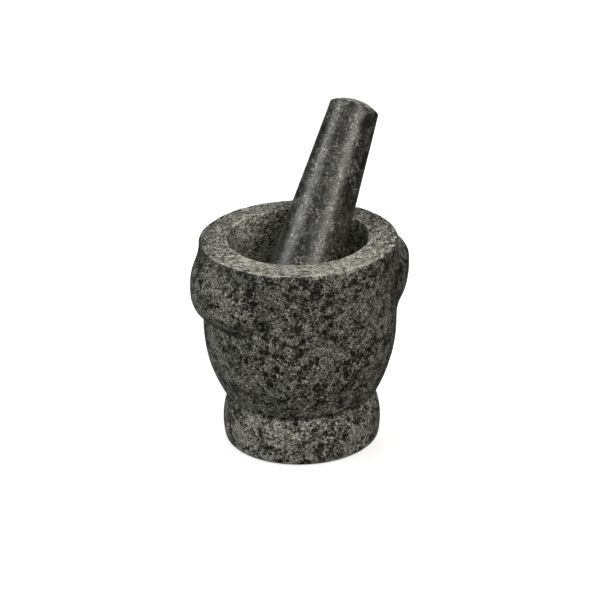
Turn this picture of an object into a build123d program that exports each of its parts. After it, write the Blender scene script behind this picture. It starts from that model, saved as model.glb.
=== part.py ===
from build123d import *
from math import asin, cos, radians, sin, sqrt
import os

# A granite mortar with its pestle standing in the bowl and leaning on the rim.
# Millimetres. The mortar's turned outside is centred on Z and stands on Z = 0.
# Its two grip lugs point along -X and +X.

# ---- Driving dimensions ----
HEIGHT = 130.0
RIM_RADIUS = 60.0
EDGE_ROUNDING = 1.5

# The foot: a slightly barrelled disc under a V groove.
FOOT_RADIUS = 48.1
FOOT_WIDEST_Z = 12.0
FOOT_SIDE_CURVE = 45.0
FOOT_TOP_Z = 28.0
FOOT_BOTTOM_ROUNDING = 3.5
FOOT_SHOULDER_ROUNDING = 2.5
GROOVE_RADIUS = 42.6
GROOVE_Z = 30.8
GROOVE_ROUNDING = 1.0

# The body above the groove swells on one long curve, then runs almost straight to the rim.
BODY_BOTTOM_Z = 32.2
BODY_RADIUS = 58.7
BODY_WIDEST_Z = 77.7
BODY_SIDE_CURVE = 92.0

# The bowl is ground a little off the outside's axis, so the rim is thicker towards -Y.
BOWL_CENTRE = (0.7, 1.35)
BOWL_RADIUS = 42.6
BOWL_DEPTH = 76.5

# Each lug is a slice of a thick rounded disc whose own upright axis is inside the mortar.
LUG_AXIS_X = 24.0
LUG_EDGE_RADIUS = 22.0
LUG_MIDDLE_Z = 105.8
LUG_REACH = {-1: 69.1, 1: 70.6}
LUG_BLEND = 4.0

# The pestle: a tapered club with a round grinding end and a low domed top.
PESTLE_LENGTH = 161.0
PESTLE_FOOT_RADIUS = 22.6
PESTLE_TAPER_START = 26.0
PESTLE_TOP_RADIUS = 15.3
PESTLE_DOME_HEIGHT = 4.5
PESTLE_TOP_ROUNDING = 1.3

# Where the pestle rests: its tilt from upright, the way it leans, counted from +X, and how
# far to the right of the bowl's axis the upright plane of its own axis passes.
PESTLE_TILT = 38.0
PESTLE_LEAN = 29.0
PESTLE_ASIDE = 2.5
REST_CLEARANCE = 0.3
REST_FIRST_GUESS = 70.0
REST_ROUNDS = 20


def side_radius(widest_radius, widest_z, curve, z):
    """Radius at height z of a side that is an arc with its widest point at widest_z."""
    return widest_radius - curve + sqrt(curve**2 - (z - widest_z) ** 2)


def turned(outline):
    """Turn an outline drawn in the XZ plane about Z, from the axis outwards."""
    return revolve(make_face(outline), Axis.Z)


def mortar_blank():
    """The outside of the mortar as it leaves the lathe: foot, groove, body and rim."""
    foot_bottom = side_radius(FOOT_RADIUS, FOOT_WIDEST_Z, FOOT_SIDE_CURVE, 0)
    foot_top = side_radius(FOOT_RADIUS, FOOT_WIDEST_Z, FOOT_SIDE_CURVE, FOOT_TOP_Z)
    body_bottom = side_radius(BODY_RADIUS, BODY_WIDEST_Z, BODY_SIDE_CURVE, BODY_BOTTOM_Z)
    middle_z = (BODY_BOTTOM_Z + BODY_WIDEST_Z) / 2
    body_middle = side_radius(BODY_RADIUS, BODY_WIDEST_Z, BODY_SIDE_CURVE, middle_z)
    outline = [
        Line((0, 0, 0), (foot_bottom, 0, 0)),
        ThreePointArc((foot_bottom, 0, 0), (FOOT_RADIUS, 0, FOOT_WIDEST_Z), (foot_top, 0, FOOT_TOP_Z)),
        Line((foot_top, 0, FOOT_TOP_Z), (GROOVE_RADIUS, 0, GROOVE_Z)),
        Line((GROOVE_RADIUS, 0, GROOVE_Z), (body_bottom, 0, BODY_BOTTOM_Z)),
        ThreePointArc(
            (body_bottom, 0, BODY_BOTTOM_Z),
            (body_middle, 0, middle_z),
            (BODY_RADIUS, 0, BODY_WIDEST_Z),
        ),
        Line((BODY_RADIUS, 0, BODY_WIDEST_Z), (RIM_RADIUS, 0, HEIGHT)),
        Line((RIM_RADIUS, 0, HEIGHT), (0, 0, HEIGHT)),
        Line((0, 0, HEIGHT), (0, 0, 0)),
    ]
    blank = turned(outline)
    roundings = {
        (foot_bottom, 0): FOOT_BOTTOM_ROUNDING,
        (foot_top, FOOT_TOP_Z): FOOT_SHOULDER_ROUNDING,
        (GROOVE_RADIUS, GROOVE_Z): GROOVE_ROUNDING,
        (body_bottom, BODY_BOTTOM_Z): EDGE_ROUNDING,
        (RIM_RADIUS, HEIGHT): EDGE_ROUNDING,
    }
    for (radius, z), rounding in roundings.items():
        blank = fillet(ring_edges(blank, radius, z), rounding)
    return blank


def ring_edges(solid, radius, z):
    """The circular edges of a turned solid that have this radius and height."""
    def matches(edge):
        right_radius = abs(edge.radius - radius) < 0.01
        return right_radius and abs(edge.arc_center.Z - z) < 0.01
    return [edge for edge in solid.edges().filter_by(GeomType.CIRCLE) if matches(edge)]


def lug(side):
    """A thick disc with a round edge, of which only the grip stands out of the body."""
    disc_radius = LUG_REACH[side] - LUG_AXIS_X
    flat_radius = disc_radius - LUG_EDGE_RADIUS
    low = LUG_MIDDLE_Z - LUG_EDGE_RADIUS
    high = LUG_MIDDLE_Z + LUG_EDGE_RADIUS
    outline = [
        Line((0, 0, low), (flat_radius, 0, low)),
        ThreePointArc((flat_radius, 0, low), (disc_radius, 0, LUG_MIDDLE_Z), (flat_radius, 0, high)),
        Line((flat_radius, 0, high), (0, 0, high)),
        Line((0, 0, high), (0, 0, low)),
    ]
    return Pos(side * LUG_AXIS_X, 0, 0) * turned(outline)


def bowl_space():
    """The hollow: an upright wall over a half-round bottom, drawn up through the rim."""
    floor_z = HEIGHT - BOWL_DEPTH
    round_z = floor_z + BOWL_RADIUS
    above = HEIGHT + BOWL_RADIUS
    slant = BOWL_RADIUS * sqrt(0.5)
    outline = [
        ThreePointArc((0, 0, floor_z), (slant, 0, round_z - slant), (BOWL_RADIUS, 0, round_z)),
        Line((BOWL_RADIUS, 0, round_z), (BOWL_RADIUS, 0, above)),
        Line((BOWL_RADIUS, 0, above), (0, 0, above)),
        Line((0, 0, above), (0, 0, floor_z)),
    ]
    return Pos(*BOWL_CENTRE, 0) * turned(outline)


def make_mortar():
    """One block of stone: the turned outside, its two lugs, and the bowl ground into it."""
    blank = mortar_blank()
    with_lugs = blank + lug(-1) + lug(1)
    creases = [edge for edge in with_lugs.edges() if is_lug_crease(edge)]
    with_lugs = fillet(creases, LUG_BLEND)
    mortar = with_lugs - bowl_space()
    return fillet(ring_edges(mortar, BOWL_RADIUS, HEIGHT), EDGE_ROUNDING)


def is_lug_crease(edge):
    """A lug meets the body along the only edges that change height within the lug's."""
    box = edge.bounding_box()
    inside = box.min.Z > BODY_WIDEST_Z and box.max.Z < HEIGHT - EDGE_ROUNDING
    level = box.size.Z < 1.0
    return inside and not level


def make_pestle():
    """The pestle standing upright with the centre of its round grinding end at the origin."""
    tip_z = -PESTLE_FOOT_RADIUS
    taper_z = tip_z + PESTLE_TAPER_START
    top_z = tip_z + PESTLE_LENGTH
    edge_z = top_z - PESTLE_DOME_HEIGHT
    slant = PESTLE_FOOT_RADIUS * sqrt(0.5)
    dome_curve = (PESTLE_TOP_RADIUS**2 + PESTLE_DOME_HEIGHT**2) / (2 * PESTLE_DOME_HEIGHT)
    dome_angle = asin(PESTLE_TOP_RADIUS / dome_curve) / 2
    dome_middle = (dome_curve * sin(dome_angle), 0, top_z - dome_curve * (1 - cos(dome_angle)))
    outline = [
        ThreePointArc((0, 0, tip_z), (slant, 0, -slant), (PESTLE_FOOT_RADIUS, 0, 0)),
        Line((PESTLE_FOOT_RADIUS, 0, 0), (PESTLE_FOOT_RADIUS, 0, taper_z)),
        Line((PESTLE_FOOT_RADIUS, 0, taper_z), (PESTLE_TOP_RADIUS, 0, edge_z)),
        ThreePointArc((PESTLE_TOP_RADIUS, 0, edge_z), dome_middle, (0, 0, top_z)),
        Line((0, 0, top_z), (0, 0, tip_z)),
    ]
    pestle = turned(outline)
    return fillet(ring_edges(pestle, PESTLE_TOP_RADIUS, edge_z), PESTLE_TOP_ROUNDING)


def pestle_radius(height):
    """Radius of the pestle's tapered side at a height above the grinding end's centre."""
    low = PESTLE_TAPER_START - PESTLE_FOOT_RADIUS
    high = PESTLE_LENGTH - PESTLE_FOOT_RADIUS - PESTLE_DOME_HEIGHT
    share = (height - low) / (high - low)
    return PESTLE_FOOT_RADIUS + (PESTLE_TOP_RADIUS - PESTLE_FOOT_RADIUS) * share


def pestle_rest():
    """Where the pestle rests, worked out in the upright plane that it leans in.

    In that plane, out is counted from beside the bowl's axis towards the leaning side.
    The grinding end stays clear of the round bottom, and the side clear of the rim's
    edge. The side's radius depends on how high up the pestle the rim comes, so it is
    found by repeating.
    """
    tilt = radians(PESTLE_TILT)
    bowl_z = HEIGHT - BOWL_DEPTH + BOWL_RADIUS
    foot_room = BOWL_RADIUS - PESTLE_FOOT_RADIUS - REST_CLEARANCE
    foot_reach = sqrt(foot_room**2 - PESTLE_ASIDE**2)
    edge_out = sqrt((BOWL_RADIUS + EDGE_ROUNDING) ** 2 - PESTLE_ASIDE**2)
    edge_z = HEIGHT - EDGE_ROUNDING
    contact_height = REST_FIRST_GUESS
    for _ in range(REST_ROUNDS):
        away = pestle_radius(contact_height) + EDGE_ROUNDING + REST_CLEARANCE
        line_out = edge_out - away * cos(tilt)
        line_z = edge_z - bowl_z + away * sin(tilt)
        along = line_out * sin(tilt) + line_z * cos(tilt)
        across = line_out**2 + line_z**2 - foot_reach**2
        contact_height = along + sqrt(along**2 - across)
    foot_out = line_out - contact_height * sin(tilt)
    foot_z = bowl_z + line_z - contact_height * cos(tilt)
    lean = radians(PESTLE_LEAN)
    foot_x = BOWL_CENTRE[0] + foot_out * cos(lean) + PESTLE_ASIDE * sin(lean)
    foot_y = BOWL_CENTRE[1] + foot_out * sin(lean) - PESTLE_ASIDE * cos(lean)
    return Pos(foot_x, foot_y, foot_z) * Rot(0, 0, PESTLE_LEAN) * Rot(0, PESTLE_TILT, 0)


def main():
    os.makedirs("parts", exist_ok=True)
    export_step(make_mortar(), "parts/mortar.step")
    export_step(pestle_rest() * make_pestle(), "parts/pestle.step")


main()
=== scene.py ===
from math import asin, cos, log2, pi, radians, sin, tau

import bpy
import numpy as np
from mathutils import Matrix, Vector


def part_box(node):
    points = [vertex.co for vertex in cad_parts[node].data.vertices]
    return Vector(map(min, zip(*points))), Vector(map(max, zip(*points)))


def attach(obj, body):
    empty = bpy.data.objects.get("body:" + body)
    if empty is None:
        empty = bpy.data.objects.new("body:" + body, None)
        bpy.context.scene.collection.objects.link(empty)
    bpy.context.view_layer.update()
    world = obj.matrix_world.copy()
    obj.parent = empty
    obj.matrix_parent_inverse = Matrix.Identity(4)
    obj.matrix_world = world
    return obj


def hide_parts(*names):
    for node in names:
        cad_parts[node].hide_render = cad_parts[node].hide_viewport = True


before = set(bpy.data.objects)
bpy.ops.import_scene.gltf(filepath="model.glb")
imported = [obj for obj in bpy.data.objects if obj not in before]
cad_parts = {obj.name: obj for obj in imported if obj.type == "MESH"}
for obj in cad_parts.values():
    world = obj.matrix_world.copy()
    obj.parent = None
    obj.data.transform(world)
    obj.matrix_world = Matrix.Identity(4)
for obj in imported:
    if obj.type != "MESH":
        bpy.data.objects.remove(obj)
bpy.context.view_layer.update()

# A granite mortar and pestle. Shapes are worked out in millimetres, in the frame's axes,
# and turned into metres when a mesh is made.
MM = 0.001

# ---- Sizes read from the frame ----
MORTAR_LOW, MORTAR_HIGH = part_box("mortar")
PESTLE_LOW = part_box("pestle")[0]
HEIGHT = MORTAR_HIGH[2] / MM
LUG_REACH = {-1: -MORTAR_LOW[0] / MM, 1: MORTAR_HIGH[0] / MM}

# ---- Mortar, as the CAD model has it ----
RIM_RADIUS = 60.0
EDGE_ROUNDING = 1.5
FOOT_RADIUS, FOOT_WIDEST_Z, FOOT_SIDE_CURVE, FOOT_TOP_Z = 48.1, 12.0, 45.0, 28.0
GROOVE_RADIUS, GROOVE_Z = 42.6, 30.8
BODY_RADIUS, BODY_WIDEST_Z, BODY_SIDE_CURVE, BODY_BOTTOM_Z = 58.7, 77.7, 92.0, 32.2
BOWL_CENTRE = np.array([0.7, 1.35])
BOWL_RADIUS, BOWL_DEPTH = 42.6, 76.5

# ---- Mortar, where the visible stone has more shape than the CAD model ----
# The rim's top stands this far above HEIGHT at the bowl, and falls by this much towards its
# outer edge.
RIM_CROWN, RIM_FALL = 0.25, 0.55

# The foot and the lower body are this far off the axis of the rest, shifted gradually between
# two heights.
LOW_SHIFT = (-0.4, 0.25)
LOW_SHIFT_TO_Z, LOW_SHIFT_FROM_Z = 45.0, 85.0

# Each lug, on the -X and the +X side, has its own middle height, and its own half height
# above and below it. A squareness of 2 makes its section elliptical, and more makes it boxier.
LUG_AXIS_X, LUG_EDGE_RADIUS = 26.5, 22.0
LUG_MIDDLE_Z = {-1: 103.2, 1: 110.1}
LUG_RISE = {-1: 30.0, 1: 12.6}
LUG_DROP = {-1: 18.0, 1: 33.1}
LUG_SQUARENESS, LUG_BLEND = 2.35, 3.0
SEARCH_INWARDS, SEARCH_OUTWARDS, SEARCH_ROUNDS = 1.0, 16.0, 30

# ---- Mortar, where its stone is paler or darker: worn lines, and painted light and shade ----
# Worn lines run along the rim's two edges, the outer one RIM_BAND in from the outside. They are
# made lighter partly as wear and partly as painted highlights.
RIM_LINE, RIM_BAND = 0.8, 1.8
# Painted light makes the rim's top palest at the front, and painted shade darkens its two ends by
# these patches.
RIM_PAINTED_LIGHT_SIDE, RIM_PAINTED_SHADE_SIDE, RIM_PAINTED_EDGE_SHADE_SIDE = radians(-115.0), radians(150.0), radians(0.0)
PAINTED_SHADE_PATCH, PAINTED_EDGE_SHADE_PATCH = 0.8, 1.8
# Painted shade darkens the groove above the foot over about this width.
GROOVE_PAINTED_SHADE_WIDTH = 1.8

# The painted shade in the crease round a lug is wider by LEFT_NECK_WIDTH between the left lug and
# the rim.
CREASE_WIDTH, LEFT_NECK_WIDTH = 2.2, 3.4
LEFT_NECK_FROM_Z, LEFT_NECK_TO_Z = 108.0, 120.0

# ---- Pestle, as the CAD model has it, but with a sharper top edge ----
PESTLE_FOOT_RADIUS, PESTLE_TOP_RADIUS = 22.6, 15.3
PESTLE_LENGTH, PESTLE_TAPER_START = 161.0, 26.0
PESTLE_DOME_HEIGHT, PESTLE_TOP_ROUNDING = 4.5, 0.8
PESTLE_TILT, PESTLE_LEAN = radians(38.0), radians(29.0)

# A painted highlight as wide as this runs round the pestle's top edge, where the finish also turns
# to the sawn top's.
PESTLE_LINE = 0.7

# ---- Unevenness of the stone, in layers of (height, size across, random seed) ----
# The pestle is sunk by PESTLE_SINK, so that its bumps stay inside the CAD model.
HAND_WORK = [(0.16, 26.0, 3), (0.09, 9.0, 4)]
TOOLING = [(0.05, 2.6, 5)]
PESTLE_WORK = [(0.08, 17.0, 21), (0.03, 4.0, 22)]
PESTLE_SINK = 0.08

# ---- Chips along the rim's edges ----
OUTER_CHIPS, OUTER_CHIP_SEED = 46, 11
INNER_CHIPS, INNER_CHIP_SEED = 26, 12
CHIP_INSET = 0.45
CHIP_SIZE, CHIP_SIZE_SPREAD = 0.8, 1.9

# ---- Fineness of the meshes ----
MORTAR_COLUMNS = 480
PESTLE_COLUMNS = 300


# ---------------------------------------------------------------- outlines

def line(start, end, count=200):
    """Points along a straight line, as rows of (radius, height)."""
    share = np.linspace(0, 1, count)[:, None]
    return np.array(start) * (1 - share) + np.array(end) * share


def arc(centre, radius, from_angle, to_angle, count=200):
    """Points along a circular arc, as rows of (radius, height)."""
    angle = np.linspace(from_angle, to_angle, count)
    return np.stack([centre[0] + radius * np.cos(angle), centre[1] + radius * np.sin(angle)], 1)


def along(points):
    """Distance of each point from the first, along the points."""
    steps = np.hypot(*np.diff(points, axis=0).T)
    return np.concatenate([[0], np.cumsum(steps)])


def cut(points, from_start, from_end):
    """The points with a length taken off each end."""
    distance = along(points)
    keep = np.linspace(from_start, distance[-1] - from_end, len(points))
    return np.stack([np.interp(keep, distance, points[:, axis]) for axis in (0, 1)], 1)


def spaced(points, spacing):
    """The points again, evenly spaced about this far apart."""
    distance = along(points)
    count = max(2, int(np.ceil(distance[-1] / spacing)) + 1)
    keep = np.linspace(0, distance[-1], count)
    return np.stack([np.interp(keep, distance, points[:, axis]) for axis in (0, 1)], 1)


def rounded_corner(before, corner, after, count):
    """A smooth turn from before to after, as a worn stone edge has, without its two ends."""
    share = np.linspace(0, 1, count + 2)[1:-1, None]
    return before * (1 - share) ** 2 + corner * 2 * share * (1 - share) + after * share**2


def outline(sections):
    """Join sections of (points, spacing, length rounded off at the far end, its points, zone).

    Returns the rows of (radius, height), and each row's zone.
    """
    rows = []
    zones = []
    trimmed_before = 0
    for index, (points, spacing, trim, turn_rows, zone) in enumerate(sections):
        kept = spaced(cut(points, trimmed_before, trim), spacing)
        if rows and trimmed_before == 0:
            kept = kept[1:]
        rows.append(kept)
        zones.append(np.full(len(kept), float(zone)))
        if trim:
            following, _, _, _, next_zone = sections[index + 1]
            after = cut(following, trim, 0)[0]
            turn = rounded_corner(kept[-1], points[-1], after, turn_rows)
            rows.append(turn)
            zones.append(np.linspace(zone, next_zone, turn_rows + 2)[1:-1])
        trimmed_before = trim
    return np.concatenate(rows), np.concatenate(zones)


def barrel(radius, widest_z, curve, low, high):
    """A side that swells to this radius at widest_z, from one height to another."""
    def angle(z):
        return asin((z - widest_z) / curve)
    return arc((radius - curve, widest_z), curve, angle(low), angle(high))


def rim_top():
    """The rim's top from its outer edge inwards. It falls away a little towards the outside."""
    share = np.linspace(0, 1, 200)
    radius = RIM_RADIUS + (BOWL_RADIUS - RIM_RADIUS) * share
    return np.stack([radius, HEIGHT + RIM_CROWN - RIM_FALL * (1 - share) ** 2], 1)


def mortar_outline():
    """The mortar's half section, from under its foot, up its side and down into its bowl."""
    foot_side = barrel(FOOT_RADIUS, FOOT_WIDEST_Z, FOOT_SIDE_CURVE, 0, FOOT_TOP_Z)
    swell = barrel(BODY_RADIUS, BODY_WIDEST_Z, BODY_SIDE_CURVE, BODY_BOTTOM_Z, BODY_WIDEST_Z)
    groove = (GROOVE_RADIUS, GROOVE_Z)
    bowl_round_z = HEIGHT - BOWL_DEPTH + BOWL_RADIUS
    outside, ground = 0, 1
    return outline([
        (line((0, 0), foot_side[0]), 8.0, 2.6, 6, outside),
        (foot_side, 1.6, 1.7, 6, outside),
        (line(foot_side[-1], groove), 0.6, 0.8, 4, outside),
        (line(groove, swell[0]), 0.6, 1.4, 6, outside),
        (swell, 2.0, 0, 0, outside),
        (line(swell[-1], rim_top()[0]), 1.0, EDGE_ROUNDING, 7, outside),
        (rim_top(), 0.8, EDGE_ROUNDING, 6, ground),
        (line(rim_top()[-1], (BOWL_RADIUS, bowl_round_z)), 2.4, 0, 0, ground),
        (arc((0, bowl_round_z), BOWL_RADIUS, 0, -pi / 2), 3.0, 0, 0, ground),
    ])


def pestle_outline():
    """The pestle's half section, from the tip of its grinding end up to its domed top.

    Heights are counted from the centre of the round grinding end.
    """
    taper_z = PESTLE_TAPER_START - PESTLE_FOOT_RADIUS
    top_z = PESTLE_LENGTH - PESTLE_FOOT_RADIUS
    edge_z = top_z - PESTLE_DOME_HEIGHT
    dome_curve = (PESTLE_TOP_RADIUS**2 + PESTLE_DOME_HEIGHT**2) / (2 * PESTLE_DOME_HEIGHT)
    dome_edge = asin(PESTLE_TOP_RADIUS / dome_curve)
    foot_end = (PESTLE_FOOT_RADIUS, 0)
    taper_foot = (PESTLE_FOOT_RADIUS, taper_z)
    taper_top = (PESTLE_TOP_RADIUS, edge_z)
    polished, sawn = 0, 1
    return outline([
        (arc((0, 0), PESTLE_FOOT_RADIUS, -pi / 2, 0), 1.5, 0, 0, polished),
        (line(foot_end, taper_foot), 1.0, 1.5, 3, polished),
        (line(taper_foot, taper_top), 1.1, PESTLE_TOP_ROUNDING, 6, polished),
        (arc((0, top_z - dome_curve), dome_curve, pi / 2 - dome_edge, pi / 2), 1.2, 0, 0, sawn),
    ])


# ---------------------------------------------------------------- surfaces

def soft_minimum(a, b, blend):
    """The smaller of a and b, eased over a width of blend where they are nearly equal."""
    blend = np.maximum(blend, 1e-6)
    near = np.maximum(blend - np.abs(a - b), 0) / blend
    return np.minimum(a, b) - near**2 * blend / 4


def ease(value, low, high):
    """0 below low, 1 above high, and a smooth rise between."""
    share = np.clip((value - low) / (high - low), 0, 1)
    return share**2 * (3 - 2 * share)


def bell(distance, width):
    """1 where the distance is 0, falling smoothly to almost 0 at twice the width."""
    return np.exp(-((distance / width) ** 2))


def outside_lug(side, x, y, z):
    """Distance from the thick round-edged disc that the lug on this side is a slice of."""
    flat = LUG_REACH[side] - LUG_AXIS_X - LUG_EDGE_RADIUS
    out = np.maximum(np.hypot(x - side * LUG_AXIS_X, y) - flat, 0) / LUG_EDGE_RADIUS
    above = z - LUG_MIDDLE_Z[side]
    rise = np.abs(above) / np.where(above > 0, LUG_RISE[side], LUG_DROP[side])
    together = out**LUG_SQUARENESS + rise**LUG_SQUARENESS
    return LUG_EDGE_RADIUS * (together ** (1 / LUG_SQUARENESS) - 1)


def with_lugs(radius, z, angle):
    """The radius of the mortar's outside with its two lugs blended in, and their creases.

    The radius is found by halving a range round the plain outside's. The creases, a mask for
    painted shade, are 1 where a lug meets the body and fall to 0 a few millimetres away.
    """
    blend = np.minimum(LUG_BLEND, 0.9 * np.maximum(HEIGHT - z, 0))
    low = radius - SEARCH_INWARDS
    high = radius + SEARCH_OUTWARDS
    for _ in range(SEARCH_ROUNDS):
        middle = (low + high) / 2
        x = middle * np.cos(angle)
        y = middle * np.sin(angle)
        distance = middle - radius
        for side in (-1, 1):
            distance = soft_minimum(distance, outside_lug(side, x, y, z), blend)
        low = np.where(distance < 0, middle, low)
        high = np.where(distance < 0, high, middle)
    x = middle * np.cos(angle)
    y = middle * np.sin(angle)
    nearest = np.minimum(outside_lug(-1, x, y, z), outside_lug(1, x, y, z))
    left_neck = ease(z, LEFT_NECK_FROM_Z, LEFT_NECK_TO_Z) * ease(-x, 0.0, 20.0)
    width = CREASE_WIDTH + LEFT_NECK_WIDTH * left_neck
    return middle, bell(middle - radius - nearest, width)


def unevenness(points, layers):
    """How far the stone stands proud at each point, from layers of (height, cell, seed)."""
    return sum(height * smooth_noise(points, cell, seed) for height, cell, seed in layers)


def smooth_noise(points, cell, seed):
    """Smooth random values from about -1 to 1 that change over about one cell."""
    size = 64
    table = np.random.default_rng(seed).uniform(-1, 1, (size, size, size))
    scaled = points / cell + size / 2
    base = np.floor(scaled).astype(int)
    share = scaled - base
    share = share**2 * (3 - 2 * share)
    value = np.zeros(points.shape[:-1])
    for corner in np.ndindex(2, 2, 2):
        weight = np.ones(points.shape[:-1])
        for axis in range(3):
            part = share[..., axis]
            weight = weight * (part if corner[axis] else 1 - part)
        picked = [(base[..., axis] + corner[axis]) % size for axis in range(3)]
        value += weight * table[picked[0], picked[1], picked[2]]
    return value


def normals_of(points):
    """Unit normals of a grid of points, rows by columns, that closes round its columns."""
    around = np.roll(points, -1, axis=1) - np.roll(points, 1, axis=1)
    up = np.gradient(points, axis=0)
    normal = np.cross(around, up)
    length = np.linalg.norm(normal, axis=-1, keepdims=True)
    return normal / np.maximum(length, 1e-9)


def chip(points, centre, radius):
    """Scoop a small hollow: what is nearer the centre than radius is pushed back to it."""
    away = points - centre
    distance = np.linalg.norm(away, axis=-1, keepdims=True)
    pushed = centre + away / np.maximum(distance, 1e-6) * radius
    return np.where(distance < radius, pushed, points)


def chip_edge(points, count, edge, centre, outwards, seed):
    """Small random chips along a round edge of (radius, height).

    outwards is 1 where the stone is inside the edge's circle, and -1 where it is outside.
    """
    random = np.random.default_rng(seed)
    for _ in range(count):
        angle = random.uniform(0, tau)
        size = CHIP_SIZE + CHIP_SIZE_SPREAD * random.uniform() ** 2
        lift = size * random.uniform(0.72, 0.9)
        side = random.uniform(0.25, 0.75)
        radius = edge[0] + outwards * lift * side
        z = edge[1] + lift * (1 - side)
        spot = (centre[0] + radius * cos(angle), centre[1] + radius * sin(angle), z)
        points = chip(points, np.array(spot), size)
    return points


# ---------------------------------------------------------------- meshes

def lattice_object(name, points, values):
    """A closed mesh from rows of points whose first and last rows are single points.

    values are named numbers for each row or each point, which the material reads. One for
    each row comes as a single column.
    """
    rows, columns = points.shape[:2]
    middle = points[1:-1]
    verts = np.concatenate([points[:1, 0], middle.reshape(-1, 3), points[-1:, 0]]) * MM
    last = len(verts) - 1
    column = np.arange(columns)
    beside = (column + 1) % columns
    ring = 1 + np.arange(rows - 3)[:, None] * columns
    ring_above = ring + columns
    corners = [ring + column, ring + beside, ring_above + beside, ring_above + column]
    quads = np.stack(corners, -1)
    top = 1 + (rows - 3) * columns
    fan_low = [(0, int(1 + b), int(1 + a)) for a, b in zip(column, beside)]
    fan_high = [(last, int(top + a), int(top + b)) for a, b in zip(column, beside)]
    mesh = bpy.data.meshes.new(name)
    mesh.from_pydata(verts.tolist(), [], fan_low + quads.reshape(-1, 4).tolist() + fan_high)
    for value_name, numbers in values.items():
        grid = np.broadcast_to(numbers, (rows, columns))
        spread = np.concatenate([grid[:1, 0], grid[1:-1].reshape(-1), grid[-1:, 0]])
        attribute = mesh.attributes.new(value_name, "FLOAT", "POINT")
        attribute.data.foreach_set("value", spread)
    add_bake_map(mesh, points)
    mesh.polygons.foreach_set("use_smooth", np.ones(len(mesh.polygons), dtype=bool))
    mesh.update()
    piece = bpy.data.objects.new(name, mesh)
    bpy.context.scene.collection.objects.link(piece)
    return piece


def add_bake_map(mesh, points):
    """Unroll the lattice into a rectangle: columns across, and distance along the rows up."""
    columns = points.shape[1]
    margin = 0.002
    steps = np.linalg.norm(np.diff(points, axis=0), axis=-1).mean(axis=1)
    height = np.concatenate([[0], np.cumsum(steps)])
    height = margin + (1 - 2 * margin) * height / height[-1]
    across = margin + (1 - 2 * margin) * np.arange(columns + 1) / columns
    half = across[:-1] + 0.5 / columns
    column = np.arange(columns)
    low = np.stack([
        np.stack([half, np.full(columns, height[0])], -1),
        np.stack([across[column + 1], np.full(columns, height[1])], -1),
        np.stack([across[column], np.full(columns, height[1])], -1),
    ], 1)
    high = np.stack([
        np.stack([half, np.full(columns, height[-1])], -1),
        np.stack([across[column], np.full(columns, height[-2])], -1),
        np.stack([across[column + 1], np.full(columns, height[-2])], -1),
    ], 1)
    left, base = np.meshgrid(across[:-1], height[1:-2])
    right, lid = np.meshgrid(across[1:], height[2:-1])
    quads = np.stack([
        np.stack([left, base], -1),
        np.stack([right, base], -1),
        np.stack([right, lid], -1),
        np.stack([left, lid], -1),
    ], 2)
    flat = np.concatenate([low.reshape(-1), quads.reshape(-1), high.reshape(-1)])
    mesh.uv_layers.new(name="OFBake").data.foreach_set("uv", flat)


def columns_round(count):
    """The angles of evenly spaced columns round an axis, as a row."""
    return np.linspace(0, tau, count, endpoint=False)[None, :]


def make_mortar():
    """The mortar: turned outside, lugs, off-centre bowl, then unevenness and small chips."""
    rows, zone = mortar_outline()
    radius = rows[:, :1]
    z = rows[:, 1:]
    inside = zone[:, None]
    angle = columns_round(MORTAR_COLUMNS)
    # The lugs and their blends are on the upper outside, and not on the foot or in the bowl.
    on_outside = (inside < 1) & (z > BODY_WIDEST_Z) & (radius > BOWL_RADIUS + 12)
    lugged_radius, creases = with_lugs(radius, z, angle)
    full_radius = np.where(on_outside, lugged_radius, radius + 0 * angle)
    points = mortar_points(radius, z, inside, angle, full_radius)
    points = chipped(worked(points, inside))
    points[..., 2] = np.maximum(points[..., 2], 0)
    # Painted shade in the groove between the foot and the body.
    groove = bell(z - GROOVE_Z, GROOVE_PAINTED_SHADE_WIDTH) * (inside < 1)
    values = {
        "ground": inside * ease(RIM_RADIUS - radius, 0.5 * RIM_BAND, RIM_BAND),
        # Worn lines along the rim's edges, lightened partly as painted highlights.
        "edge": bell(distance_to_edge(radius, z), RIM_LINE),
        # Painted shade in the groove and in the creases round the lugs.
        "hollow": np.maximum(groove, np.where(on_outside, creases, 0)),
        "foot": ease(-z, -GROOVE_Z, -FOOT_TOP_Z) * (inside < 1),
        # Painted light and shade on the rim's top.
        "pale": painted_rim_light_and_shade(radius, z, inside, angle),
    }
    return lattice_object("mortar_stone", points, values)


def mortar_points(radius, z, inside, angle, full_radius):
    """The mortar's surface, with its bowl and its lower part each a little off its axis."""
    flat_outer = RIM_RADIUS - EDGE_ROUNDING
    flat_inner = BOWL_RADIUS + EDGE_ROUNDING
    bowl = np.where(inside > 0.99, ease_line(radius, flat_outer, flat_inner), 0)
    low = 1 - ease(z, LOW_SHIFT_TO_Z, LOW_SHIFT_FROM_Z)
    x = full_radius * np.cos(angle) + bowl * BOWL_CENTRE[0] + low * LOW_SHIFT[0]
    y = full_radius * np.sin(angle) + bowl * BOWL_CENTRE[1] + low * LOW_SHIFT[1]
    return np.stack([x, y, z + 0 * angle], -1)


def ease_line(value, zero_at, one_at):
    """0 at zero_at, 1 at one_at and past it, in a straight line between."""
    return np.clip((value - zero_at) / (one_at - zero_at), 0, 1)


def worked(points, inside):
    """The points moved by the marks of hand work, strongest outside, and of tools, in the bowl.

    The underside of the foot stays flat.
    """
    hand_work = (1 - 0.5 * inside) * unevenness(points, HAND_WORK)
    tooling = (0.3 + 0.7 * inside) * unevenness(points, TOOLING)
    relief = ease(points[..., 2], 0.0, 4.0) * (hand_work + tooling)
    return points + normals_of(points) * relief[..., None]


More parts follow.
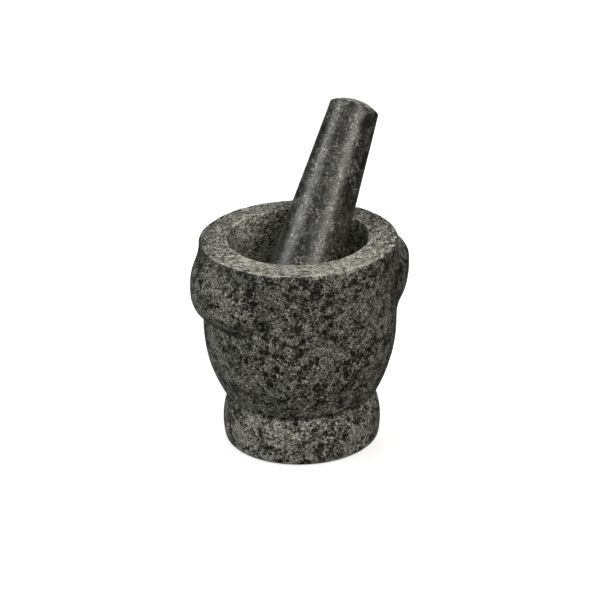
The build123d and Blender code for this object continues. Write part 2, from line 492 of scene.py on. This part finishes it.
def chipped(points):
    """The points with small chips along the rim's outer edge, then along its inner one."""
    outer = (RIM_RADIUS - CHIP_INSET, HEIGHT - CHIP_INSET)
    inner = (BOWL_RADIUS + CHIP_INSET, HEIGHT - CHIP_INSET)
    points = chip_edge(points, OUTER_CHIPS, outer, (0, 0), 1, OUTER_CHIP_SEED)
    return chip_edge(points, INNER_CHIPS, inner, BOWL_CENTRE, -1, INNER_CHIP_SEED)


def painted_rim_light_and_shade(radius, z, inside, angle):
    """How much paler the rim's top is: palest at the front, and duller at its two ends.

    The paleness is painted light and the dullness painted shade. The dark side's end is dull right
    across, and the other only near the outside.
    """
    rim = ease(z, HEIGHT - 4, HEIGHT - 1) * inside
    outer_band = ease(radius, RIM_RADIUS - 8, RIM_RADIUS - 3)
    dark = np.maximum(np.cos(angle - RIM_PAINTED_SHADE_SIDE), 0) ** 4
    dull = np.maximum(np.cos(angle - RIM_PAINTED_EDGE_SHADE_SIDE), 0) ** 4 + dark
    front = np.cos(angle - RIM_PAINTED_LIGHT_SIDE)
    return rim * (front - PAINTED_SHADE_PATCH * dark - PAINTED_EDGE_SHADE_PATCH * dull * outer_band)


# The rim's worn lines also carry painted highlights.
def distance_to_edge(radius, z):
    """How far each row of the mortar's outline is from the nearer of the rim's two worn lines."""
    outer = np.hypot(radius - RIM_RADIUS + RIM_BAND, z - HEIGHT)
    inner = np.hypot(radius - BOWL_RADIUS - EDGE_ROUNDING / 2, z - HEIGHT)
    return np.minimum(outer, inner)


def make_pestle():
    """The pestle: a turned club, tilted to lean over the bowl's rim."""
    rows, zone = pestle_outline()
    radius = rows[:, :1]
    z = rows[:, 1:]
    angle = columns_round(PESTLE_COLUMNS)
    points = np.stack([radius * np.cos(angle), radius * np.sin(angle), z + 0 * angle], -1)
    relief = unevenness(points, PESTLE_WORK) - PESTLE_SINK
    points = points + normals_of(points) * relief[..., None]
    turn = Matrix.Rotation(PESTLE_LEAN, 3, "Z") @ Matrix.Rotation(PESTLE_TILT, 3, "Y")
    foot_centre = np.array(PESTLE_LOW) / MM + PESTLE_FOOT_RADIUS
    points = points @ np.array(turn).T + foot_centre
    top_z = PESTLE_LENGTH - PESTLE_FOOT_RADIUS - PESTLE_DOME_HEIGHT
    from_edge = np.hypot(radius - PESTLE_TOP_RADIUS, z - top_z)
    # The line round the top edge is a painted highlight.
    values = {"ground": zone[:, None], "edge": bell(from_edge, PESTLE_LINE)}
    return lattice_object("pestle_stone", points, values)


# ---------------------------------------------------------------- granite

class Nodes:
    """Adds shader nodes to a material or world, each in one call."""

    def __init__(self, owner):
        owner.use_nodes = True
        self.tree = owner.node_tree
        self.tree.nodes.clear()

    def add(self, kind, settings=None, **inputs):
        """A node of this kind. A value that is a socket is linked, and others are set."""
        node = self.tree.nodes.new("ShaderNode" + kind)
        for name, value in (settings or {}).items():
            setattr(node, name, value)
        for name, value in inputs.items():
            self.put(node.inputs[name.replace("_", " ")], value)
        return node

    def put(self, socket, value):
        """Link the value to the socket if it is a socket itself, or else set it."""
        if isinstance(value, bpy.types.NodeSocket):
            self.tree.links.new(value, socket)
        else:
            socket.default_value = value

    def maths(self, operation, *values):
        """A Math node's result."""
        node = self.tree.nodes.new("ShaderNodeMath")
        node.operation = operation
        for socket, value in zip(node.inputs, values):
            self.put(socket, value)
        return node.outputs[0]

    def vector(self, operation, a, b=None, scale=None):
        """A Vector Math node's result."""
        node = self.tree.nodes.new("ShaderNodeVectorMath")
        node.operation = operation
        self.put(node.inputs[0], a)
        if b is not None:
            self.put(node.inputs[1], b)
        if scale is not None:
            self.put(node.inputs["Scale"], scale)
        return node.outputs[0]

    def noise(self, place, size, detail=2.0, roughness=0.5, colour=False):
        """Cloudy noise from 0 to 1 whose features are about size across."""
        values = {"Scale": 1 / size, "Detail": detail, "Roughness": roughness}
        node = self.add("TexNoise", Vector=place, **values)
        return node.outputs["Color" if colour else "Fac"]

    def noise_about_0(self, place, size, detail=2.0, roughness=0.5):
        """Cloudy noise from -0.5 to 0.5."""
        return self.maths("SUBTRACT", self.noise(place, size, detail, roughness), 0.5)

    def crystals(self, place, size):
        """A random number for each of a crowd of crystals about size across."""
        node = self.add("TexVoronoi", Vector=place, Scale=1 / size)
        split = self.add("SeparateColor", Color=node.outputs["Color"])
        return split.outputs[0]

    def mix(self, share, a, b, blend="MIX"):
        """A mix of two colours."""
        node = self.tree.nodes.new("ShaderNodeMix")
        node.data_type = "RGBA"
        node.blend_type = blend
        self.put(node.inputs["Factor"], share)
        self.put(node.inputs["A"], a)
        self.put(node.inputs["B"], b)
        return node.outputs["Result"]

    def between(self, value, low, high, to_low=0.0, to_high=1.0):
        """The value carried from one range to another, and held inside it."""
        ends = {"From_Min": low, "From_Max": high, "To_Min": to_low, "To_Max": to_high}
        node = self.add("MapRange", {"clamp": True}, Value=value, **ends)
        return node.outputs["Result"]

    def mesh_value(self, name):
        """A number that the mesh carries for each of its points, or 0 if it has none."""
        return self.add("Attribute", {"attribute_name": name}).outputs["Fac"]


def grains(nodes, place, size, share, crowding):
    """A mask of one mineral's crystals, about size across, that fill this share of the stone.

    crowding is a value about 0 that makes them more common where it is high.
    """
    chance = nodes.maths("ADD", nodes.crystals(place, size), crowding)
    return nodes.between(chance, 0.99 - share, 1.01 - share)


def shifted(nodes, place, amount):
    """The same place in another part of the stone's pattern."""
    return nodes.vector("ADD", place, (amount, amount * 1.7, amount * 2.3))


# The dark minerals. Each has its own part of the pattern, its crystals' size, the share of the
# stone that they fill, how far they keep to the crowded parts, and how dark they are in stops.
DARK_MINERALS = {
    "biotite": (3, 2.2, 0.11, 1.0, 2.8),
    "hornblende": (19, 1.25, 0.20, 1.0, 2.2),
    "dark_speck": (41, 0.8, 0.13, 1.0, 2.0),
    "ore": (37, 1.9, 0.03, 0.3, 4.5),
}
QUARTZ_SIZE, QUARTZ_SHARE, QUARTZ_STOPS = 0.75, 0.20, 1.2
FELDSPAR_SIZE, FELDSPAR_STOPS = 1.5, 1.2
CLUMP_SIZE, CLUMP_CROWDING = 5.5, 0.9
CLOUD_SIZE, CLOUD_CROWDING, CLOUD_STOPS = 17.0, 0.5, 0.5
QUARTZ_THINNING = 0.8

# Crystals' outlines wander by about this far in all, over about this size.
WANDER, WANDER_SIZE = 1.6, 0.9


def mineral_stops(nodes, place):
    """How light each crystal is, in photographic stops from the stone's middle grey."""
    wander = nodes.noise(place, WANDER_SIZE, 2.0, 0.6, colour=True)
    wander = nodes.vector("SUBTRACT", wander, (0.5, 0.5, 0.5))
    bent = nodes.vector("ADD", place, nodes.vector("SCALE", wander, scale=WANDER))
    clump = nodes.noise_about_0(shifted(nodes, place, 11), CLUMP_SIZE, 1.0)
    cloud = nodes.noise_about_0(shifted(nodes, place, 70), CLOUD_SIZE, 1.0)
    crowding = nodes.maths("MULTIPLY", clump, CLUMP_CROWDING)
    crowding = nodes.maths("MULTIPLY_ADD", cloud, CLOUD_CROWDING, crowding)
    dark = 0.0
    for part, size, share, crowded, strength in DARK_MINERALS.values():
        own_crowding = nodes.maths("MULTIPLY", crowding, crowded)
        mask = grains(nodes, shifted(nodes, bent, part), size, share, own_crowding)
        dark = nodes.maths("MAXIMUM", dark, nodes.maths("MULTIPLY", mask, strength))
    thinning = nodes.maths("MULTIPLY", crowding, -QUARTZ_THINNING)
    quartz = grains(nodes, shifted(nodes, bent, 53), QUARTZ_SIZE, QUARTZ_SHARE, thinning)
    feldspar = nodes.maths("SUBTRACT", nodes.crystals(bent, FELDSPAR_SIZE), 0.5)
    stops = nodes.maths("MULTIPLY", feldspar, FELDSPAR_STOPS)
    stops = nodes.maths("MULTIPLY_ADD", quartz, QUARTZ_STOPS, stops)
    stops = nodes.maths("MULTIPLY_ADD", cloud, CLOUD_STOPS, stops)
    return nodes.maths("SUBTRACT", stops, dark)


def grinding_lines(nodes, place):
    """Noise about 0 that is drawn out into short lines round the bowl's axis."""
    split = nodes.add("SeparateXYZ", Vector=place)
    x = nodes.maths("SUBTRACT", split.outputs["X"], BOWL_CENTRE[0])
    y = nodes.maths("SUBTRACT", split.outputs["Y"], BOWL_CENTRE[1])
    turn = nodes.maths("MULTIPLY", nodes.maths("ARCTAN2", y, x), 14.0)
    squared = nodes.maths("MULTIPLY_ADD", y, y, nodes.maths("MULTIPLY", x, x))
    radius = nodes.maths("SQRT", squared)
    lines = nodes.add("CombineXYZ", X=turn, Y=radius, Z=split.outputs["Z"]).outputs[0]
    return nodes.noise_about_0(lines, 0.8, 2.0, 0.7)


class Finish:
    """How one part of the stone's surface is finished.

    middle is its middle grey. minerals, fine and lines are how strongly its crystals, its finest
    grain and its grinding lines show. relief is how deep its grit is.
    """

    def __init__(self, middle, minerals, fine, lines, roughness, relief):
        self.middle = log2(middle)
        self.minerals = minerals
        self.fine = fine
        self.lines = lines
        self.roughness = roughness
        self.relief = relief


HONED = Finish(middle=0.123, minerals=1.15, fine=13.5, lines=0.0, roughness=0.50, relief=0.12)
GROUND = Finish(middle=0.28, minerals=0.55, fine=14.0, lines=11.0, roughness=0.80, relief=0.40)
POLISHED = Finish(middle=0.042, minerals=1.7, fine=15.0, lines=0.0, roughness=0.36, relief=0.05)
SAWN = Finish(middle=0.06, minerals=1.0, fine=12.0, lines=0.0, roughness=0.55, relief=0.08)

# How much lighter or darker the marked parts of the meshes are, in stops: painted shade in the
# creases and groove, a paler foot, and painted light and shade on the rim's top.
PAINTED_CREASE_SHADE_STOPS, FOOT_STOPS, PAINTED_RIM_LIGHT_STOPS = -0.9, 0.6, 0.55
LIGHTEST = 0.8
BLUE_SHARE = 0.86
RUST_TINT = (1.15, 0.98, 0.91, 1)


def granite(name, side, ground, shine, worn_line_and_highlight_stops):
    """Dark speckled granite with one finish, and another where the mesh is marked as ground."""
    material = bpy.data.materials.new(name)
    nodes = Nodes(material)
    metres = nodes.add("TexCoord").outputs["Object"]
    place = nodes.vector("SCALE", metres, scale=1 / MM)

    ragged = nodes.noise_about_0(shifted(nodes, place, 5), 0.6, 3.0, 0.7)
    ragged = nodes.maths("MULTIPLY_ADD", ragged, 0.35, nodes.mesh_value("ground"))
    edge = nodes.mesh_value("edge")
    worn_edge = nodes.maths("MULTIPLY", edge, 0.8)
    worn = nodes.maths("MAXIMUM", nodes.between(ragged, 0.7, 0.95), worn_edge)

    def finish(quality):
        return nodes.between(worn, 0.0, 1.0, getattr(side, quality), getattr(ground, quality))

    minerals = mineral_stops(nodes, place)
    fine = nodes.noise_about_0(place, 0.85, 3.0, 0.85)
    stops = nodes.maths("MULTIPLY_ADD", minerals, finish("minerals"), finish("middle"))
    stops = nodes.maths("MULTIPLY_ADD", fine, finish("fine"), stops)
    stops = nodes.maths("MULTIPLY_ADD", grinding_lines(nodes, place), finish("lines"), stops)
    # Painted shade in the creases and the groove, the foot's paler tone, and painted light and
    # shade on the rim's top.
    for mark, strength in (("hollow", PAINTED_CREASE_SHADE_STOPS), ("foot", FOOT_STOPS), ("pale", PAINTED_RIM_LIGHT_STOPS)):
        stops = nodes.maths("MULTIPLY_ADD", nodes.mesh_value(mark), strength, stops)
    # The edge lines are lightened: on the rim partly as wear and partly as painted highlights, and
    # on the pestle as a painted highlight.
    stops = nodes.maths("MULTIPLY_ADD", edge, worn_line_and_highlight_stops, stops)
    albedo = nodes.maths("MINIMUM", nodes.maths("POWER", 2.0, stops), LIGHTEST)
    blue = nodes.maths("MULTIPLY", albedo, BLUE_SHARE)
    colour = nodes.add("CombineColor", Red=albedo, Green=albedo, Blue=blue).outputs[0]
    rust = nodes.noise(shifted(nodes, place, 90), 6.0, 2.0)
    rust = nodes.between(rust, 0.62, 0.72, 0.0, 0.6)
    colour = nodes.mix(rust, colour, nodes.mix(1.0, colour, RUST_TINT, "MULTIPLY"))

    grit = nodes.noise(shifted(nodes, place, 23), 0.7, 4.0, 0.75)
    height = nodes.maths("MULTIPLY_ADD", minerals, 0.12, grit)
    height = nodes.maths("MULTIPLY", height, finish("relief"))
    relief = nodes.add("Bump", Strength=1.0, Distance=MM, Height=height)
    roughness = nodes.maths("MULTIPLY_ADD", fine, -0.25, finish("roughness"))
    shader = nodes.add("BsdfPrincipled", Base_Color=colour, Roughness=roughness)
    shader.inputs["Specular IOR Level"].default_value = shine
    nodes.put(shader.inputs["Normal"], relief.outputs["Normal"])
    output = nodes.add("OutputMaterial")
    nodes.put(output.inputs["Surface"], shader.outputs["BSDF"])
    return material


# ---------------------------------------------------------------- pieces

mortar = make_mortar()
honed_granite = granite("honed_granite", HONED, GROUND, shine=0.15, worn_line_and_highlight_stops=1.0)
mortar.data.materials.append(honed_granite)
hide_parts("mortar")
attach(mortar, "mortar")

pestle = make_pestle()
polished_granite = granite("polished_granite", POLISHED, SAWN, shine=0.85, worn_line_and_highlight_stops=2.4)
pestle.data.materials.append(polished_granite)
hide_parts("pestle")
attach(pestle, "pestle")


# ---------------------------------------------------------------- camera, floor and light

# Places and lengths are in metres from here on.
VIEW_AZIMUTH = radians(-30.0)
VIEW_ELEVATION = radians(24.24)
VIEW_DISTANCE = 2.031
VIEW_ROLL = radians(-1.42)
VIEW_TARGET_Z = 0.0888
VIEW_TARGET_RIGHT = 0.0002
LENS, SENSOR = 201.4, 36.0

FLOOR_REACH, FLOOR_SIDES, FLOOR_DROP = 8.0, 64, 0.0003
FLOOR_GREY, FLOOR_GLOW = 0.93, 0.6
WORLD_GREY = 0.056

# Each softbox's azimuth, elevation, width, height and power. They all face the object.
LIGHT_DISTANCE = 1.6
SOFTBOXES = {
    "left_low": (-67, 12, 0.8, 0.6, 6.9),
    "left_high": (-92, 40, 0.8, 0.6, 7.0),
    "right_low": (12, 12, 0.4, 0.6, 5.2),
    "right_high": (47, 40, 0.46, 0.6, 8.4),
    "front_high": (0, 40, 0.7, 0.6, 2.6),
    "back_top": (180, 66, 0.7, 0.7, 6.8),
    "back_fill": (175, 10, 0.9, 0.7, 6.0),
}
WARM_LIGHTS = {"right_high": (1.0, 0.96, 0.88)}

right = Vector((cos(VIEW_AZIMUTH), sin(VIEW_AZIMUTH), 0))
forward_level = Vector((-sin(VIEW_AZIMUTH), cos(VIEW_AZIMUTH), 0))
target = Vector((0, 0, VIEW_TARGET_Z)) + right * VIEW_TARGET_RIGHT


def from_viewer(azimuth, elevation, distance):
    """A place round the target. Azimuth 0 is the camera's side, and positive is to its right."""
    level = right * sin(azimuth) - forward_level * cos(azimuth)
    return target + (level * cos(elevation) + Vector((0, 0, sin(elevation)))) * distance


def make_camera():
    """The camera at the photograph's viewing angle, with its small tilt to one side."""
    data = bpy.data.cameras.new("camera")
    data.lens = LENS
    data.sensor_width = SENSOR
    camera = bpy.data.objects.new("camera", data)
    place = from_viewer(0, VIEW_ELEVATION, VIEW_DISTANCE)
    forward = (target - place).normalized()
    up = right.cross(forward)
    axis_x = right * cos(VIEW_ROLL) + up * sin(VIEW_ROLL)
    axis_y = up * cos(VIEW_ROLL) - right * sin(VIEW_ROLL)
    turn = Matrix((axis_x, axis_y, -forward)).transposed()
    camera.matrix_world = Matrix.Translation(place) @ turn.to_4x4()
    bpy.context.scene.collection.objects.link(camera)
    bpy.context.scene.camera = camera


def make_floor():
    """A plain pale floor with a round wall far off. They throw no light or shadow on the stone."""
    sides = FLOOR_SIDES
    angles = np.linspace(0, tau, sides, endpoint=False)
    ring = [(FLOOR_REACH * cos(angle), FLOOR_REACH * sin(angle)) for angle in angles]
    verts = [(x, y, z) for z in (0, FLOOR_REACH) for x, y in ring]
    walls = [(i, (i + 1) % sides, sides + (i + 1) % sides, sides + i) for i in range(sides)]
    mesh = bpy.data.meshes.new("floor")
    mesh.from_pydata(verts, [], [tuple(range(sides))] + walls)
    floor = bpy.data.objects.new("floor", mesh)
    floor.location.z = -FLOOR_DROP
    floor.visible_diffuse = False
    floor.visible_glossy = False
    floor.visible_shadow = False
    material = bpy.data.materials.new("floor")
    nodes = Nodes(material)
    grey = (FLOOR_GREY, FLOOR_GREY, FLOOR_GREY, 1)
    shader = nodes.add("BsdfPrincipled", Base_Color=grey, Roughness=0.9)
    shader.inputs["Emission Color"].default_value = (1, 1, 1, 1)
    shader.inputs["Emission Strength"].default_value = FLOOR_GLOW
    nodes.put(nodes.add("OutputMaterial").inputs["Surface"], shader.outputs["BSDF"])
    mesh.materials.append(material)
    bpy.context.scene.collection.objects.link(floor)


def make_softbox(name, azimuth, elevation, width, height, power):
    """A rectangular soft light that faces the object."""
    data = bpy.data.lights.new(name, "AREA")
    data.shape = "RECTANGLE"
    data.size = width
    data.size_y = height
    data.energy = power
    data.color = WARM_LIGHTS.get(name, (1, 1, 1))
    light = bpy.data.objects.new(name, data)
    place = from_viewer(radians(azimuth), radians(elevation), LIGHT_DISTANCE)
    light.location = place
    light.rotation_euler = (target - place).to_track_quat("-Z", "Y").to_euler()
    bpy.context.scene.collection.objects.link(light)


def make_world():
    """Dim surroundings: dark grey below the level, and black above it."""
    world = bpy.data.worlds.new("studio")
    bpy.context.scene.world = world
    nodes = Nodes(world)
    direction = nodes.add("TexCoord").outputs["Generated"]
    height = nodes.add("SeparateXYZ", Vector=direction).outputs["Z"]
    grey = nodes.between(height, -0.1, 0.1, WORLD_GREY, 0.0)
    background = nodes.add("Background", Color=grey, Strength=1.0)
    nodes.put(nodes.add("OutputWorld").inputs["Surface"], background.outputs["Background"])


make_camera()
make_floor()
make_world()
for light_name, light_values in SOFTBOXES.items():
    make_softbox(light_name, *light_values)
bpy.context.scene.view_settings.view_transform = "Standard"
